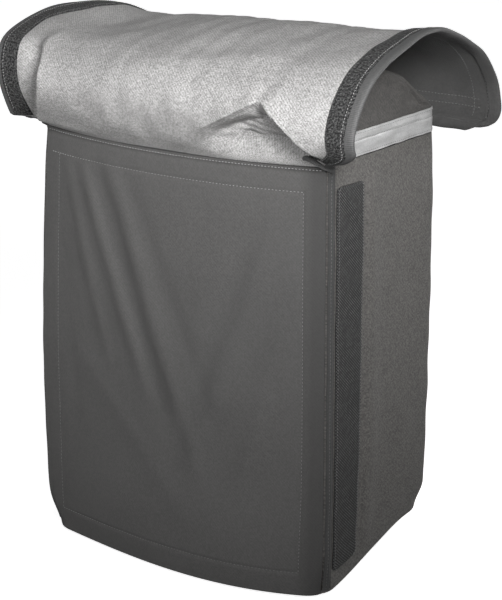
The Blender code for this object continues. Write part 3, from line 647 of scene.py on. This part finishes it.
def side_surface(distance, z, side, out=0.0):
    """Outer face of a side, by distance back from its front end, round to the back."""
    face = HALF_W - pulled_in(z, EDGE_R) + out
    front, flat = straight_side(z)
    turn = np.clip((distance - flat) / REAR_CORNER_R, 0, math.pi / 2)
    past = np.clip(distance - flat - QUARTER_TURN, 0, None)
    radius = REAR_CORNER_R + out
    y = front + np.minimum(distance, flat) + radius * np.sin(turn)
    x = face - radius + radius * np.cos(turn) - past
    return settled(np.stack([side * x, y, z], -1))


def side_length(z):
    """Length of a side from its front end to the start of the back, at heights."""
    return straight_side(z)[1] + QUARTER_TURN


def ordered(grid, side):
    """Columns turned round on the left, so that the outer face stays outside."""
    return grid if side > 0 else grid[:, ::-1]


def side_sag(distance, z, side):
    """Slack of the side cloth: broad waves, and a soft upright roll behind the tape."""
    seed = 21 if side > 0 else 31
    held = smooth((SEAM_Z - z) / 0.03) * smooth(z / 0.05)
    wave = (0.0011 * drift(distance, z * 0.5, 0.13, seed)
            + 0.0004 * drift(distance, z, 0.05, seed + 1))
    roll = 0.0016 * np.exp(-((distance - 0.070 - 0.01 * (0.4 - z)) / 0.011) ** 2)
    dip = 0.0014 * np.exp(-((distance - 0.058) / 0.006) ** 2)
    return (wave + roll - dip) * held


def on_side(side, distance, z, out):
    """A grid laid on the slack side cloth, out from it by a height."""
    full = z * np.ones_like(distance)
    return pushed(ordered(side_surface(distance, full, side), side),
                  ordered(side_sag(distance, full, side) + out, side))


# ======== body cloth
def build_front():
    columns, rows = 221, 261
    share = np.linspace(-1, 1, columns)[None, :]
    z = foot_rows(SEAM_Z, rows)[:, None]
    half = HALF_W - pulled_in(z, EDGE_R) - EDGE_GAP
    x = share * half
    cloth = shell("front_cloth", front_surface(x, z + 0 * x), CLOTH,
                  [SOFTSHELL, LINING, SOFTSHELL])
    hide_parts("front_panel")

    def row(start, end, count=90, pitch=0.0036):
        """A row of stitches straight over the front: points, normals and pitch."""
        x, z = np.linspace(start, end, count).T
        spots, step = front_surface(x, z), 0.002
        ahead = front_surface(x + step, z) - spots
        above = front_surface(x, z + step) - spots
        return spots, unit(np.cross(ahead, above)), pitch

    ends = HALF_W - 0.004
    seam = [row((-ends, SEAM_Z - 0.0038), (ends, SEAM_Z - 0.0038), pitch=0.0034)]
    light = [row((-PANEL_SIDE - 0.012, PANEL_TOP), (PANEL_SIDE, PANEL_TOP))]
    dark = [row((x, PANEL_FOOT), (x, PANEL_TOP), 100) for x in (-PANEL_SIDE, PANEL_SIDE)]
    dark.append(row((-PANEL_SIDE, PANEL_FOOT), (PANEL_SIDE, PANEL_FOOT)))
    # A near-black strip along the seam where the flap meets the front: painted shade.
    z = np.linspace(SEAM_Z - 0.0012, SEAM_Z + 0.0006, 5)[:, None]
    x = np.linspace(-HALF_W + 0.006, HALF_W, 160)[None, :]
    seam_shade = pushed(front_surface(x + 0 * z, z + 0 * x), 0.0009)
    shell("front_seam_painted_shade", seam_shade, 0.0008, [PAINTED_CREASE_SHADE])
    stitches("front_seam_thread", seam, THREAD_LIGHT)
    stitches("front_rectangle_thread_top", light, THREAD_LIGHT, thread=0.00026)
    stitches("front_rectangle_thread", dark, THREAD_MID, thread=0.00024)
    return cloth


def build_side(name, side):
    columns, rows = 150, 231
    z = foot_rows(SEAM_Z - EDGE_GAP, rows)[:, None]
    grid = on_side(side, np.linspace(0, 1, columns)[None, :] * side_length(z), z, 0.0)
    cloth = shell("side_cloth_" + name, grid, CLOTH, [SIDE, LINING, SIDE])
    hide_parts("side_panel_" + name)
    trims = build_piping(name, side) + build_hook_tape(name, side)
    return cloth, trims


def column_row(grid, column, pitch):
    """A row of stitches along a column of a grid: points, normals and pitch."""
    return grid[:, column], normals_of(grid)[:, column], pitch


def build_piping(name, side):
    """Felled corner seam: a rolled strip with a centre stitch, and behind it a near-black strip
    of painted shade in the crease.
    """
    z = np.linspace(PIPING_BOX[0].z - 0.003, SEAM_Z - 0.002, 170)[:, None]
    width = (PIPING_BOX[1].y - PIPING_BOX[0].y) * 0.78
    columns = 13
    across = np.linspace(-1, 1, columns)[None, :]
    share = np.linspace(0, 1, columns)[None, :]
    grid = on_side(side, 0.0004 + share * width + 0 * z, z, 0.0011 + 0.0010 * (1 - across ** 2))
    grid = pushed(grid, -0.0009 * np.exp(-(across / 0.16) ** 2) + 0 * z)
    strip = shell("corner_piping_cloth_" + name, grid, 0.0012, [PIPING])
    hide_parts("corner_piping_" + name)
    stitches("corner_piping_thread_" + name, [column_row(grid, columns // 2, 0.0034)],
             THREAD_MID, thread=0.00028)
    # A near-black strip beside the piping: painted shade in the crease.
    crease_shade_strip = on_side(side, width + np.array([0.0006, 0.0014, 0.0022]) + 0 * z, z, 0.0005)
    line = shell("corner_painted_shade_" + name, crease_shade_strip, 0.0006, [PAINTED_CREASE_SHADE])
    return [strip, line]


def build_hook_tape(name, side):
    """Hook tape with rounded ends, a plain selvedge and a stitched border."""
    corner, lowered, forward, columns = 0.004, 0.004, 0.0052, 17
    low, high = TAPE_BOX[0].z, TAPE_BOX[1].z - lowered
    z = np.linspace(low, high, 190)[:, None]
    start = TAPE_BOX[0].y - CORNER_Y - forward
    width = TAPE_BOX[1].y - TAPE_BOX[0].y
    from_end = np.minimum(np.clip(high - z, 0, corner), np.clip(z - low, 0, corner))
    narrow = corner - np.sqrt(np.clip(corner ** 2 - (corner - from_end) ** 2, 0, None))
    share = np.linspace(0, 1, columns)[None, :]
    edge = np.minimum(share, 1 - share) * width
    grid = on_side(side, start + narrow + share * (width - 2 * narrow), z,
                   0.0012 + 0.0007 * smooth(edge / 0.0025))
    tape = shell("hook_tape_cloth_" + name, grid, 0.0014, [HOOK, TAPE_EDGE])
    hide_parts("hook_tape_" + name)
    rows = [column_row(grid, column, 0.0030) for column in (1, columns - 2)]
    stitches("hook_tape_thread_" + name, rows, THREAD_MID, thread=0.00028)
    return [tape]


def build_collar(name, side):
    """The raised mouth: it leans in, its rim is rolled, and it slumps to the rear corner. The
    reflective band is sewn round its foot."""
    columns, rows = 121, 61
    wrap = side_length(np.array([[SEAM_Z]]))[0, 0] - QUARTER_TURN * 0.06
    distance = np.linspace(0.0025, wrap, columns)[None, :]
    base = side_surface(distance, SEAM_Z * np.ones_like(distance), side, -0.0016)
    y = base[..., 1]
    rise, slump, foot = 0.074, 0.054, SEAM_Z + 0.0004
    top = SEAM_Z + rise - slump * np.clip(y / BACK_Y, 0, 1) ** 1.5
    top = top + 0.0016 * drift(distance, 0 * distance, 0.05, 41)
    z = foot + (top - foot) * np.linspace(0, 1, rows)[:, None]
    grid = np.repeat(base, rows, 0)
    grid[..., 2] = z
    outward = normals_of(side_surface(distance, np.array([[SEAM_Z], [SEAM_Z + 0.01]])
                                      * np.ones_like(distance), side))[:1]
    outward = outward if side > 0 else -outward
    upright = 0.026     # the collar's foot, behind the band, does not lean
    above = np.clip(z - SEAM_Z - upright, 0, None)
    depth = top - z
    roll = 0.0030 * np.exp(-((depth - 0.007) / 0.005) ** 2) - 0.0034 * smooth(1 - depth / 0.004)
    fold_depth = 0.002 + 0.30 * np.clip(y - 0.030, 0, 0.060)
    slumped = smooth((y - 0.02) / 0.03)
    groove = -0.0034 * np.exp(-((depth - fold_depth) / 0.0024) ** 2) * slumped
    swell = 0.0018 * np.exp(-((depth - fold_depth - 0.007) / 0.005) ** 2) * slumped
    wave = 0.0012 * drift(distance, z * 1.2, 0.045, 43) * smooth(above / 0.01)
    amount = -0.20 * above + (roll + groove + swell + wave) * smooth(above / 0.006)
    grid = ordered(grid + outward * amount[..., None], side)
    # The collar wears the darkened copy of the side weave: painted shade.
    collar = shell("collar_cloth_" + name, grid, 0.0018, [PAINTED_SHADE_COLLAR, LINING, PAINTED_SHADE_COLLAR])
    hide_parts("side_collar_" + name)

    # the reflective band and its stitches
    start, end = [corner.y - CORNER_Y - SIDE_GAP for corner in BAND_BOX]
    run = np.linspace(start + 0.002, end + 0.012, 120)[None, :]
    run = np.minimum(run, wrap - 0.002)
    rows, line_height = 23, 0.64
    height = np.linspace(0, 1, rows)[:, None]
    z = BAND_BOX[0].z + 0.0006 + (BAND_BOX[1].z - BAND_BOX[0].z - 0.001) * height
    band = side_surface(run, z * np.ones_like(run), side)
    band[..., 2] = z
    waves = 0.0005 * drift(run, z * 2, 0.03, 51) + 0.0002
    line = -0.0005 * np.exp(-((height - line_height) / 0.035) ** 2)
    cushion = 0.0004 * np.sin(np.pi * height)
    band = pushed(ordered(band, side), ordered(waves + line + cushion, side))
    tape = shell("reflective_cloth_" + name, band, 0.0010, [REFLECTIVE])
    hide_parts("reflective_band_" + name)
    normal = normals_of(band)
    rows_sewn = [(band[row], normal[row], 0.0032) for row in (2, rows - 3)]
    stitches("reflective_thread_" + name, rows_sewn, THREAD_MID, thread=0.00026)
    line_row = int(line_height * (rows - 1))
    stitches("reflective_thread_middle_" + name, [(band[line_row], normal[line_row], 0.0026)],
             THREAD_DARK, thread=0.00024)
    return collar, [tape]


def build_corner_tab():
    """The end of a ribbon that comes out of the seam at the right corner and folds down."""
    knots = [(0.1400, -0.1020, 0.0060), (0.1500, -0.1045, 0.0078), (0.1590, -0.1040, 0.0050),
             (0.1665, -0.0990, 0.0005), (0.1700, -0.0915, -0.0035)]
    path = even_path([(x, y, SEAM_Z + h) for x, y, h in knots], 40)
    run = unit(np.gradient(path, axis=0))
    out = np.array([0.55, -0.82, 0.20])
    up = unit(np.cross(run, np.cross(out, run)))
    across = np.cross(up, run)
    share = np.linspace(-1, 1, 9)
    grid = (path[:, None] + across[:, None] * (0.0024 * share)[None, :, None]
            + up[:, None] * (0.0009 * np.cos(share * 1.4))[None, :, None])
    shell("corner_tab_right", grid, 0.0007, [GROSGRAIN])


def build_back():
    """Back cloth, base cloth and the board in the base."""
    columns, rows = 121, 161
    z = foot_rows(BACK_TOP, rows)[:, None]
    half = HALF_W - pulled_in(z, EDGE_R) - REAR_CORNER_R + 0.001
    share = np.linspace(1, -1, columns)[None, :]
    x = share * half
    y = BACK_Y - pulled_in(z, REAR_EDGE_R) + 0 * x
    full = z + 0 * x
    grid = settled(np.stack([x, y, full], -1))
    grid = pushed(grid, 0.0003 * drift(x, full, 0.09, 61) - 0.0003)
    back = shell("back_cloth", grid, CLOTH, [SIDE, LINING, SIDE])
    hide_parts("back_panel")
    normal = normals_of(grid)
    spots = [(-4,), (-10,), (slice(None), 2), (slice(None), -3)]
    stitches("back_thread", [(grid[spot], normal[spot], 0.0036) for spot in spots], THREAD_MID)

    rings, spokes, count = 60, 221, 60
    foot = np.full(count, FOOT_Z)
    half_x = (HALF_W - pulled_in(foot, EDGE_R) - EDGE_GAP)[0]
    near = front_surface(np.linspace(-half_x, half_x, count), foot)
    run = np.linspace(0.001, 0.999, count) * side_length(foot)
    ring = np.concatenate([near, side_surface(run, foot, 1), side_surface(run, foot, -1)[::-1],
                           near[:1]])
    lengths = lengths_of(ring)
    rim = at_lengths(np.linspace(0, lengths[-1], spokes), lengths, ring)[None]
    share = np.linspace(0, 1, rings)[:, None]
    centre = np.array([0.0, -0.006, 0.0])
    grid = centre + (rim - centre) * share[..., None]
    grid[..., 2] = rim[..., 2] * np.clip((share - 0.45) / 0.55, 0, 1) ** 1.3
    grid[..., 2] += 0.0004 * (1 - share) * (1 + drift(grid[..., 0], grid[..., 1], 0.06, 71))
    grid = grid[:, ::-1]
    base = shell("base_cloth", grid, -0.0024, [LINING, SIDE, SIDE])
    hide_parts("base_panel")
    stiff = grid[:int(rings * 0.74)] + np.array([0, 0, 0.0029])
    board = shell("base_board_sheet", stiff, -0.0018, [BOARD])
    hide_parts("base_board")
    return back, base


# ======== lid flap
FLAP_ROWS, FLAP_COLUMNS = 281, 261
REAR_CORNER_SHARE = 0.058   # share of the flap's length that its rounded rear corners take


def flap_half_width(along, side):
    """Half the flap's width: past the seam it soon widens into a wing on each side."""
    at_seam, wing, early, run = ((0.1665, 0.0375, 0.002, 0.080) if side > 0 else
                                 (0.1575, 0.0430, 0.001, 0.018))
    wide = at_seam + wing * smooth((along + early) / run) - 0.005 * smooth((along - 0.5) / 0.4)
    left_over = np.clip((1 - along) / REAR_CORNER_SHARE, 0, 1)
    return wide - 0.020 * (1 - np.sqrt(1 - (1 - left_over) ** 2))


def flap_shape(along, share):
    """The flap's outer face before its folds, by share run from the seam and share across."""
    count = 400
    paths = [even_path(knots, count) for knots in (FLAP_MIDDLE, FLAP_LEFT, FLAP_RIGHT)]
    steps = np.linspace(0, 1, count)
    middle, left, right = [[np.interp(along, steps, path[:, k]) for k in (0, 1)]
                           for path in paths]
    half = np.where(share > 0, flap_half_width(along, 1), flap_half_width(along, -1))
    x = share * half
    blend = np.abs(share) ** 2.6
    y, z = [np.where(share > 0, middle[k] * (1 - blend) + right[k] * blend,
                     middle[k] * (1 - blend) + left[k] * blend) for k in (0, 1)]
    drop = (SEAM_SAG + 0.0010) * np.clip(1 - (x / HALF_W) ** 2, 0, 1) * smooth(1 - along / 0.15)
    return np.stack([x, y, z + SEAM_Z - drop], -1)


def left_crease(h):
    """X of the crease that parts the left wing from the front, by height over the seam."""
    return -0.1575 + 0.0215 * smooth(h / 0.045) - 0.010 * smooth((h - 0.064) / 0.020)


def hang_left_wing(shape, along):
    """The left wing stands back past its crease, turns in there and comes out to its edge."""
    x, h = shape[..., 0], shape[..., 2] - SEAM_Z
    behind = left_crease(h) - x
    over = h - 0.056
    edge_y = -0.1095 + np.where(over < 0, 6.5, 13.0) * over ** 2
    turn_in = 0.007 * np.exp(-((behind - 0.020) / 0.014) ** 2)
    held = smooth(behind / 0.011) * smooth((0.092 - h) / 0.024) * smooth((0.42 - along) / 0.1)
    hung = shape.copy()
    hung[..., 1] = shape[..., 1] * (1 - held) + (edge_y + turn_in) * held
    hung[..., 2] -= 0.0020 * smooth(behind / 0.020) * smooth(1 - h / 0.050) * held
    return hung


# The two arms of the overhang at the flap's right: ends as (X, height over the seam), how far
# it reaches, the width of the slope under it, and the share over which it fades out.
RIGHT_ARMS = [((0.1165, 0.058), (0.176, 0.012), 0.0190, 0.010, 0.30),
              ((0.1165, 0.058), (0.040, 0.020), 0.0185, 0.014, 0.75)]


def flap_folds(along, shape):
    """How far the flap's cloth stands off its plain shape."""
    x, h = shape[..., 0], shape[..., 2] - SEAM_Z
    front = smooth((0.42 - along) / 0.10)
    sewn = smooth(along / 0.05)
    lift = 0.0012 * drift(x, along * 0.4, 0.11, 81) * sewn
    lift = lift + 0.0005 * drift(x, along * 0.4, 0.035, 82) * sewn
    # left: a sharp ridge falls from its peak to the end of the seam
    open_here = smooth((0.086 - h) / 0.020) * front * smooth((h - 0.001) / 0.012)
    lift = lift + 0.0030 * np.exp(-np.abs((left_crease(h) - x) / 0.007)) * open_here
    peak = np.exp(-((x + 0.145) / 0.009) ** 2 - ((h - 0.084) / 0.008) ** 2)
    lift = lift + 0.0035 * peak * front
    # right: the cloth overhangs along two arms from a peak, and is drawn in below them
    drawn_in = np.zeros_like(lift)
    for start, end, reach, slope, fade in RIGHT_ARMS:
        across, run = along_line(x, h, start, end)
        if end[0] < start[0]:
            across = -across
        ends = smooth(run / 0.16 + 0.45) * smooth((1.10 - run) / fade) * front * sewn
        lift = lift + 0.25 * reach * np.exp(-np.clip(across, 0, None) / 0.012) * ends * smooth(
            across / 0.002 + 0.5)
        drawn_in = np.maximum(drawn_in, reach * smooth(-across / slope) * ends)
    lift = lift - drawn_in + 0.025 * drawn_in * np.sin((x * 0.35 + h) * 640)
    # broad slack over the top, and a dip towards the left
    lift = lift - 0.0016 * np.exp(-((x - 0.03) / 0.07) ** 2 - ((along - 0.32) / 0.07) ** 2)
    lift = lift + 0.0016 * fold(x, along, (-0.05, 0.20), (0.10, 0.31), 0.03)
    lift = lift - 0.0125 * np.exp(-((x + 0.110) / 0.060) ** 2 - ((along - 0.50) / 0.18) ** 2)
    lift = lift - 0.0060 * np.exp(-((x + 0.145) / 0.030) ** 2 - ((along - 0.50) / 0.15) ** 2)
    return lift


def flap_grid(along, share):
    """Outer face of the flap with its folds."""
    shape = hang_left_wing(flap_shape(along, share), along)
    return pushed(shape, flap_folds(along, shape))


def build_flap():
    along, share = np.meshgrid(np.linspace(0, 1, FLAP_ROWS), np.linspace(-1, 1, FLAP_COLUMNS),
                               indexing="ij")
    grid = flap_grid(along, share)
    cloth = shell("flap_cloth", grid, FLAP_CLOTH, [SILVER, LINING, LINING], body=None)
    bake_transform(cloth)
    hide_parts("lid_flap")
    normal = normals_of(grid)
    trims = []
    for name, side in (("left", -1), ("right", 1)):
        # loop tape, which starts a little above the seam
        run = along[LOOP_TAPE_ROW:, :1]
        columns = 15
        t = np.linspace(0, 1, columns)[None, :]
        wide = LOOP_TAPE_W / flap_half_width(run, side)
        near = 1 - wide * (1 - t) if side > 0 else -1 + wide * t
        thick = 0.0004 + 0.0012 * smooth(np.minimum(t, 1 - t) * LOOP_TAPE_W / 0.0018)
        tape = pushed(flap_grid(run * np.ones_like(t), near), thick)
        piece = shell("loop_tape_cloth_" + name, tape, 0.0012, [LOOP, TAPE_EDGE], body=None)
        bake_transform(piece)
        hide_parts("loop_tape_" + name)
        trims.append(piece)
        outward = normals_of(tape)
        inner_column, outer_column = (1, columns - 4) if side > 0 else (columns - 2, 3)
        for title, column, material, thread in (
                ("loop_tape_thread_", outer_column, THREAD_LIGHT, 0.00028),
                ("loop_tape_thread_inner_", inner_column, THREAD_DARK, 0.00034)):
            stitches(title + name, [(tape[4:, column], outward[4:, column], 0.0030)], material,
                     body="lid", thread=thread)

        # binding: a folded grosgrain tape round the flap's cut edge
        column = -1 if side > 0 else 0
        edge, up = grid[:, column], normal[:, column]
        out = np.array([side, 0.0, 0.0])
        out = unit(out - up * (up @ out)[:, None])
        reach = 0.0080 if side > 0 else 0.0045
        section = [(-0.0015, 0.0012), (0.3 * reach, 0.0015), (0.7 * reach, 0.0012),
                   (0.93 * reach, 0.0002), (reach, -0.0010), (0.93 * reach, -0.0022),
                   (0.7 * reach, -0.0032), (0.2 * reach, -0.0034), (-0.0040, -0.0031)]
        folded = np.stack([edge + out * a + up * b for a, b in section], 1)[1:]
        turned = [0, 0, 0, 0, 1, 1, 1, 1]       # outside faces, then inside faces
        if side < 0:
            folded, turned = folded[:, ::-1], turned[::-1]
        binding = shell("edge_binding_cloth_" + name, folded, 0.0006, [GROSGRAIN, LINING],
                        body=None, sharp=80, by_column=turned)
        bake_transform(binding)
        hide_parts("edge_binding_" + name)
        trims.append(binding)

    # rear hem: the cloth turned up and stitched
    last, up = grid[-1], normal[-1]
    back = unit(last - grid[-6])
    section = [(-0.0060, 0.0005), (0.0000, 0.0010), (0.0080, 0.0011), (0.0120, 0.0004),
               (0.0134, -0.0010), (0.0120, -0.0026), (0.0070, -0.0034), (0.0000, -0.0034),
               (-0.0080, -0.0028)]
    hem = np.stack([last + back * a + up * b for a, b in section], 0)
    ripple = 0.0006 * drift(last[:, 0], 0 * last[:, 0], 0.02, 91)
    hem = hem + up[None] * ripple[None, :, None]
    rear = shell("rear_hem_cloth", hem, 0.0006, [LINING], body="lid", sharp=80)
    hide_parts("rear_hem")
    trims.append(rear)

    # sewn lines over the flap: double topstitch over the seam, and inside near the rear
    sewn = [(grid[row, 4:-4], normal[row, 4:-4], 0.0032) for row in (11, 15)]
    stitches("flap_seam_thread", sewn, THREAD_MID, body="lid", thread=0.00020)
    inner = grid - normal * FLAP_CLOTH
    sewn = [(inner[row, 8:-8], -normal[row, 8:-8], 0.0034) for row in (-14, -20)]
    sewn += [(inner[6:-6, column], -normal[6:-6, column], 0.0034) for column in (-4, 3, -13, 12)]
    stitches("flap_inner_thread", sewn, THREAD_MID, body="lid", thread=0.00026)
    return cloth, trims


# ======== build
front = build_front()
sides = {name: build_side(name, side) for name, side in (("left", -1), ("right", 1))}
collars = {name: build_collar(name, side) for name, side in (("left", -1), ("right", 1))}
build_corner_tab()
back, base = build_back()
flap, flap_trims = build_flap()

# ======== floor, light, camera
floor_mesh = bpy.data.meshes.new("floor")
floor_mesh.from_pydata([(-12, -8, 0), (12, -8, 0), (12, 30, 0), (-12, 30, 0)], [],
                       [(0, 1, 2, 3)])
floor = placed("floor", floor_mesh)
floor.visible_diffuse = False
floor.visible_glossy = False
floor_mesh.materials.append(Surface("floor").finish(
    grey(0.80), 0.9, Emission_Color=grey(1.0), Emission_Strength=0.86))


def look(thing, place, along):
    """Put a lamp or camera at a place, looking along a direction."""
    thing.location = place
    thing.rotation_euler = along.to_track_quat("-Z", "Y").to_euler()


# Rectangular lamps: name, place, what it looks at, width, height, watts, spread in degrees.
for name, place, target, width, height, power, spread in (
        ("key", (1.00, -0.92, 1.02), (-0.02, -0.10, 0.52), 0.5, 0.35, 3.9, 50),
        ("front", (-0.30, -1.60, 0.40), (-0.06, -0.10, 0.46), 0.8, 0.5, 1.0, 50),
        ("back", (0.50, 2.00, 0.60), (0.0, 0.10, 0.22), 0.8, 0.5, 0.9, 40)):
    lamp = bpy.data.lights.new(name, "AREA")
    lamp.shape, lamp.size, lamp.size_y = "RECTANGLE", width, height
    lamp.energy, lamp.spread = power, math.radians(spread)
    look(placed(name, lamp), place, Vector(target) - Vector(place))

# The sky by height: darker below and overhead, light round the horizon.
scene = bpy.context.scene
scene.world = bpy.data.worlds.new("studio")
sky = Surface("studio", scene.world)
height = sky.node("SeparateXYZ", sky.node("TexCoord").outputs["Generated"]).outputs["Z"]
ramp = sky.node("ValToRGB", sky.math("MULTIPLY_ADD", height, 0.5, 0.5))
ramp.color_ramp.interpolation = "B_SPLINE"
elements = ramp.color_ramp.elements
elements[0].position, elements[0].color = 0.30, grey(0.14)
elements[1].position, elements[1].color = 0.92, grey(0.06)
elements.new(0.54).color = grey(0.44)
sky.feed(sky.shader.inputs["Color"], ramp.outputs[0])

AIM = Vector((0.0165, 0.0, 0.2468))
AZIMUTH, ELEVATION, DISTANCE = math.radians(34.915), math.radians(16.44), 2.2329
camera = placed("camera", bpy.data.cameras.new("camera"))
away = Vector((math.sin(AZIMUTH) * math.cos(ELEVATION),
               -math.cos(AZIMUTH) * math.cos(ELEVATION), math.sin(ELEVATION)))
look(camera, AIM + away * DISTANCE, -away)
camera.data.lens = 137.2
camera.data.sensor_width = 36.0
scene.camera = camera
scene.view_settings.view_transform = "Standard"
